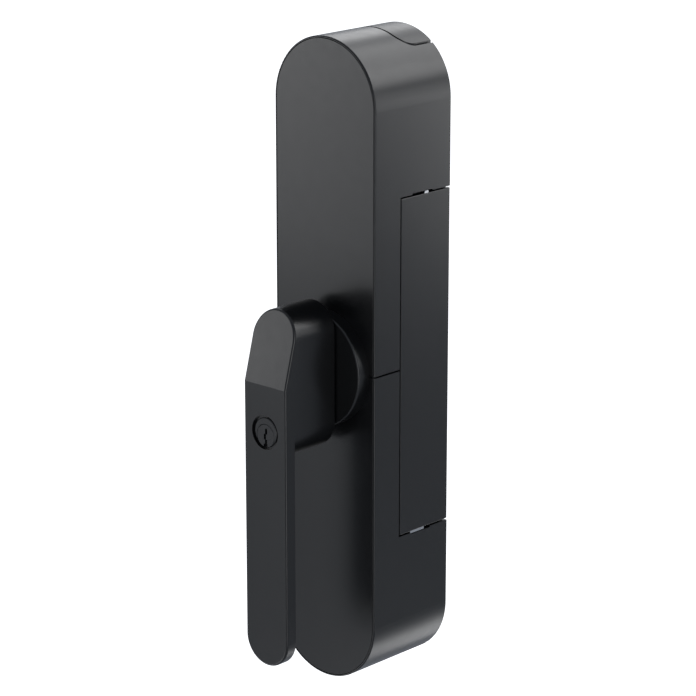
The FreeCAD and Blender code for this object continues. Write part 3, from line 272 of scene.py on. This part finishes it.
# the finish of each material slot of the CAD nodes
FINISHES = {
    "housing_black": satin_black("housing_satin", BLACK, SATIN),
    "cover_black": satin_black("cover_satin", BLACK, SATIN),
    "cap_black": satin_black("cap_satin", BLACK, SATIN + 0.04),
    "pack_black": satin_black("pack_satin", BLACK, SATIN),
    "lever_black": satin_black("lever_satin", BLACK, SATIN, grain=0.5 * MM),
    "collar_black": satin_black("collar_satin", BLACK, SATIN),
    "lock_black": satin_black("lock_satin", tint(BLACK, 1.0), SATIN - 0.04, grain=0.2 * MM),
    "nylon_grey": filled_nylon("nylon", (0.035, 0.036, 0.038)),
    "steel": brushed_metal("turned_steel", (0.56, 0.57, 0.59), 0.3, ALONG_Y),
    "gear_steel": brushed_metal("gear_steel", (0.5, 0.51, 0.53), 0.32, ALONG_Y, dulling=0.4),
    "brass": brushed_metal("turned_brass", (0.72, 0.52, 0.24), 0.26, ALONG_Y, dulling=0.35),
    "frame_metal": spangled_sheet("zinc_sheet", (0.6, 0.61, 0.62)),
    "motor_steel": brushed_metal("drawn_can", (0.55, 0.56, 0.58), 0.22, ALONG_Y, streak=0.7 * MM),
    "board_green": solder_mask("board_lacquer", (0.01, 0.1, 0.035)),
    "component_black": satin_black("component_epoxy", (0.012, 0.012, 0.013), 0.5, grain=0.2 * MM),
    "cell_wrap": shrink_film("cell_film", (0.02, 0.09, 0.26)),
}


def finish_nodes():
    """Gives each CAD node the finish of its material slot."""
    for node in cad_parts.values():
        slot = node.data.materials[0].name
        node.data.materials[0] = FINISHES[slot]


# ---------------------------------------------------------------- object helpers

def new_object(name, data):
    """An object in the scene that shows a mesh, a lamp or a lens."""
    thing = bpy.data.objects.new(name, data)
    bpy.context.scene.collection.objects.link(thing)
    return thing


def new_piece(name, form, material):
    """An object in the scene made from a form, which is used up, with one material."""
    mesh = bpy.data.meshes.new(name)
    form.to_mesh(mesh)
    form.free()
    mesh.materials.append(material)
    return new_object(name, mesh)


def join_rings(form, first, second):
    """Faces between two rings of vertices, where the first can be a single vertex."""
    for index in range(len(second)):
        after = (index + 1) % len(second)
        corners = [first[index % len(first)], second[index], second[after]]
        if len(first) > 1:
            corners.append(first[after])
        form.faces.new(corners)


# ---------------------------------------------------------------- locking bolt's spring

SPRING_TURNS = 3.5
STEPS_PER_TURN = 32
WIRE_SIDES = 12
WIRE_RADIUS = 0.17 * MM


def add_wire_ring(form, centre, along):
    """A circle of vertices round a point of the wire's centre line."""
    side = along.cross(Vector((0, 1, 0))).normalized()
    up = side.cross(along).normalized()
    turns = [FULL_TURN * index / WIRE_SIDES for index in range(WIRE_SIDES)]
    return [form.verts.new(centre + (side * math.cos(turn) + up * math.sin(turn)) * WIRE_RADIUS)
            for turn in turns]


def coil_line(low, high):
    """(point, direction) along the wire of a coil that fills the box, from its +Y end."""
    middle = (low + high) / 2
    radius = (high.x - low.x) / 2 - WIRE_RADIUS
    height = high.y - low.y - 2 * WIRE_RADIUS
    climb = -height / (FULL_TURN * SPRING_TURNS)
    steps = round(SPRING_TURNS * STEPS_PER_TURN)
    for step in range(steps + 1):
        turn = FULL_TURN * step / STEPS_PER_TURN
        y = high.y - WIRE_RADIUS - height * step / steps
        outward = Vector((math.cos(turn), 0, math.sin(turn))) * radius
        yield Vector((middle.x, y, middle.z)) + outward, Vector((-outward.z, climb, outward.x))


def make_bolt_spring():
    """The bolt's coil spring: it stands on the lever's wall and is attached to the lever."""
    low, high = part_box("bolt_spring")
    form = bmesh.new()
    rings = [add_wire_ring(form, point, along.normalized()) for point, along in coil_line(low, high)]
    for first, second in zip(rings, rings[1:]):
        join_rings(form, first, second)
    form.faces.new(rings[0])
    form.faces.new(reversed(rings[-1]))
    bmesh.ops.recalc_face_normals(form, faces=form.faces)
    spring = new_piece("bolt_coil", form, FINISHES["steel"])
    spring.data.shade_smooth()
    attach(spring, "lever")
    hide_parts("bolt_spring")
    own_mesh(spring)


# ---------------------------------------------------------------- floor

FLOOR_DROP = 1.0
SWEEP_RADIUS = 8.0
SWEEP_BEND = 3.0
SWEEP_RISE = 6.0
SWEEP_SIDES = 64
BEND_STEPS = 12
PAPER_PATCH = 0.5
PAPER_SHADES = ((0.78, 0.78, 0.78), (0.8, 0.8, 0.8))


def pale_paper():
    """Matt paper with a faint change of tone, which glows so that it looks evenly lit."""
    material, tree, shader = new_material("pale_paper")
    shader.inputs["Roughness"].default_value = 0.9
    shader.inputs["Emission Color"].default_value = (1, 1, 1, 1)
    shader.inputs["Emission Strength"].default_value = 1.0
    tone = blend_colours(tree, noise(tree, PAPER_PATCH), *PAPER_SHADES)
    tree.links.new(tone, shader.inputs["Base Color"])
    return material


def sweep_profile():
    """(radius, height) from the floor's middle, round the bend and up the wall."""
    floor = cad_box[0][2] - FLOOR_DROP
    points = [(0.0, floor), (SWEEP_RADIUS - SWEEP_BEND, floor)]
    for step in range(1, BEND_STEPS + 1):
        angle = math.pi / 2 * step / BEND_STEPS
        points.append((SWEEP_RADIUS - SWEEP_BEND * (1 - math.sin(angle)),
                       floor + SWEEP_BEND * (1 - math.cos(angle))))
    points.append((SWEEP_RADIUS, floor + SWEEP_RISE))
    return points


def add_level(form, radius, height):
    """A ring of the floor's vertices at that height, or one vertex where the radius is 0."""
    if radius == 0:
        return [form.verts.new((0, 0, height))]
    turns = [FULL_TURN * side / SWEEP_SIDES for side in range(SWEEP_SIDES)]
    return [form.verts.new((radius * math.cos(turn), radius * math.sin(turn), height))
            for turn in turns]


def make_floor():
    """A plain pale floor that bends up into a wall all round, kept out of the reflections."""
    form = bmesh.new()
    levels = [add_level(form, radius, height) for radius, height in sweep_profile()]
    for inner, outer in zip(levels, levels[1:]):
        join_rings(form, inner, outer)
    floor = new_piece("floor", form, pale_paper())
    floor.visible_diffuse = False
    floor.visible_glossy = False
    floor.visible_shadow = False


# ---------------------------------------------------------------- lights and camera

def direction(azimuth, elevation):
    """Unit vector towards an azimuth, from -Y towards +X, and an elevation, in degrees."""
    around = math.radians(azimuth)
    up = math.radians(elevation)
    return Vector((math.sin(around) * math.cos(up), -math.cos(around) * math.cos(up), math.sin(up)))


def aim(thing, away, target, distance):
    """Puts a lamp or camera at that distance from the target, facing it."""
    thing.location = target + away * distance
    thing.rotation_euler = away.to_track_quat("Z", "Y").to_euler()


# name, azimuth and elevation in degrees, distance, width and height in metres, power in watts
SOFTBOXES = [
    ("left_softbox", -45, 0, 0.6, 0.25, 0.2, 0.22),
    ("left_high_softbox", -45, 12, 0.6, 0.25, 0.2, 0.27),
    ("left_low_panel", -28, -15, 1.5, 0.7, 0.4, 0.7),
    ("left_bottom_panel", -28, -40, 1.5, 0.7, 0.5, 2.4),
    ("edge_strip", 58, 0, 1.5, 0.6, 1.4, 7.0),
    ("right_softbox", 152, 0, 0.6, 0.2, 0.2, 0.62),
    ("right_high_softbox", 135, 12, 0.6, 0.2, 0.2, 0.2),
    ("right_panel", 135, 30, 1.5, 0.6, 0.5, 2.7),
    ("top_right_panel", 150, 32, 1.5, 0.6, 0.5, 0.9),
    ("top_panel", 165, 50, 1.5, 1.0, 0.6, 3.4),
    ("top_wide_panel", 180, 42, 1.5, 1.8, 0.8, 4.6),
    ("top_left_panel", 223, 30, 1.5, 0.6, 0.5, 2.0),
    ("low_back_panel", 170, -42, 1.5, 0.7, 0.5, 2.4),
]
WORLD_LIGHT = 0.39
WORLD_COLOUR = (0.88, 0.95, 1.07, 1)


def make_softbox(name, azimuth, elevation, distance, width, height, power):
    """A soft panel that faces the handle and isn't in the picture itself."""
    lamp = bpy.data.lights.new(name, "AREA")
    lamp.shape = "RECTANGLE"
    lamp.size = width
    lamp.size_y = height
    lamp.energy = power
    light = new_object(name, lamp)
    light.visible_camera = False
    aim(light, direction(azimuth, elevation), Vector((0, 0, 0)), distance)


def make_world():
    """Weak even light from all round."""
    world = bpy.data.worlds.new("studio")
    bpy.context.scene.world = world
    world.use_nodes = True
    sky = world.node_tree.nodes["Background"]
    sky.inputs["Color"].default_value = WORLD_COLOUR
    sky.inputs["Strength"].default_value = WORLD_LIGHT


SENSOR_WIDTH = 36.0
CAMERA_AZIMUTH = 42.785
CAMERA_ELEVATION = 16.036
CAMERA_DISTANCE = 1.3038
CAMERA_LENS = 146.73
AIM_FROM_SPINDLE = (-0.00906, -0.0249, 0.00105)


def make_camera():
    """The scene's camera: a long lens from the room side, a little above and to the right."""
    lens = bpy.data.cameras.new("camera")
    lens.sensor_width = SENSOR_WIDTH
    lens.lens = CAMERA_LENS
    camera = new_object("camera", lens)
    aim(camera, direction(CAMERA_AZIMUTH, CAMERA_ELEVATION), Vector(AIM_FROM_SPINDLE),
        CAMERA_DISTANCE)
    bpy.context.scene.camera = camera


finish_nodes()
make_bolt_spring()
make_floor()
make_world()
for softbox in SOFTBOXES:
    make_softbox(*softbox)
make_camera()
bpy.context.scene.view_settings.view_transform = "Standard"
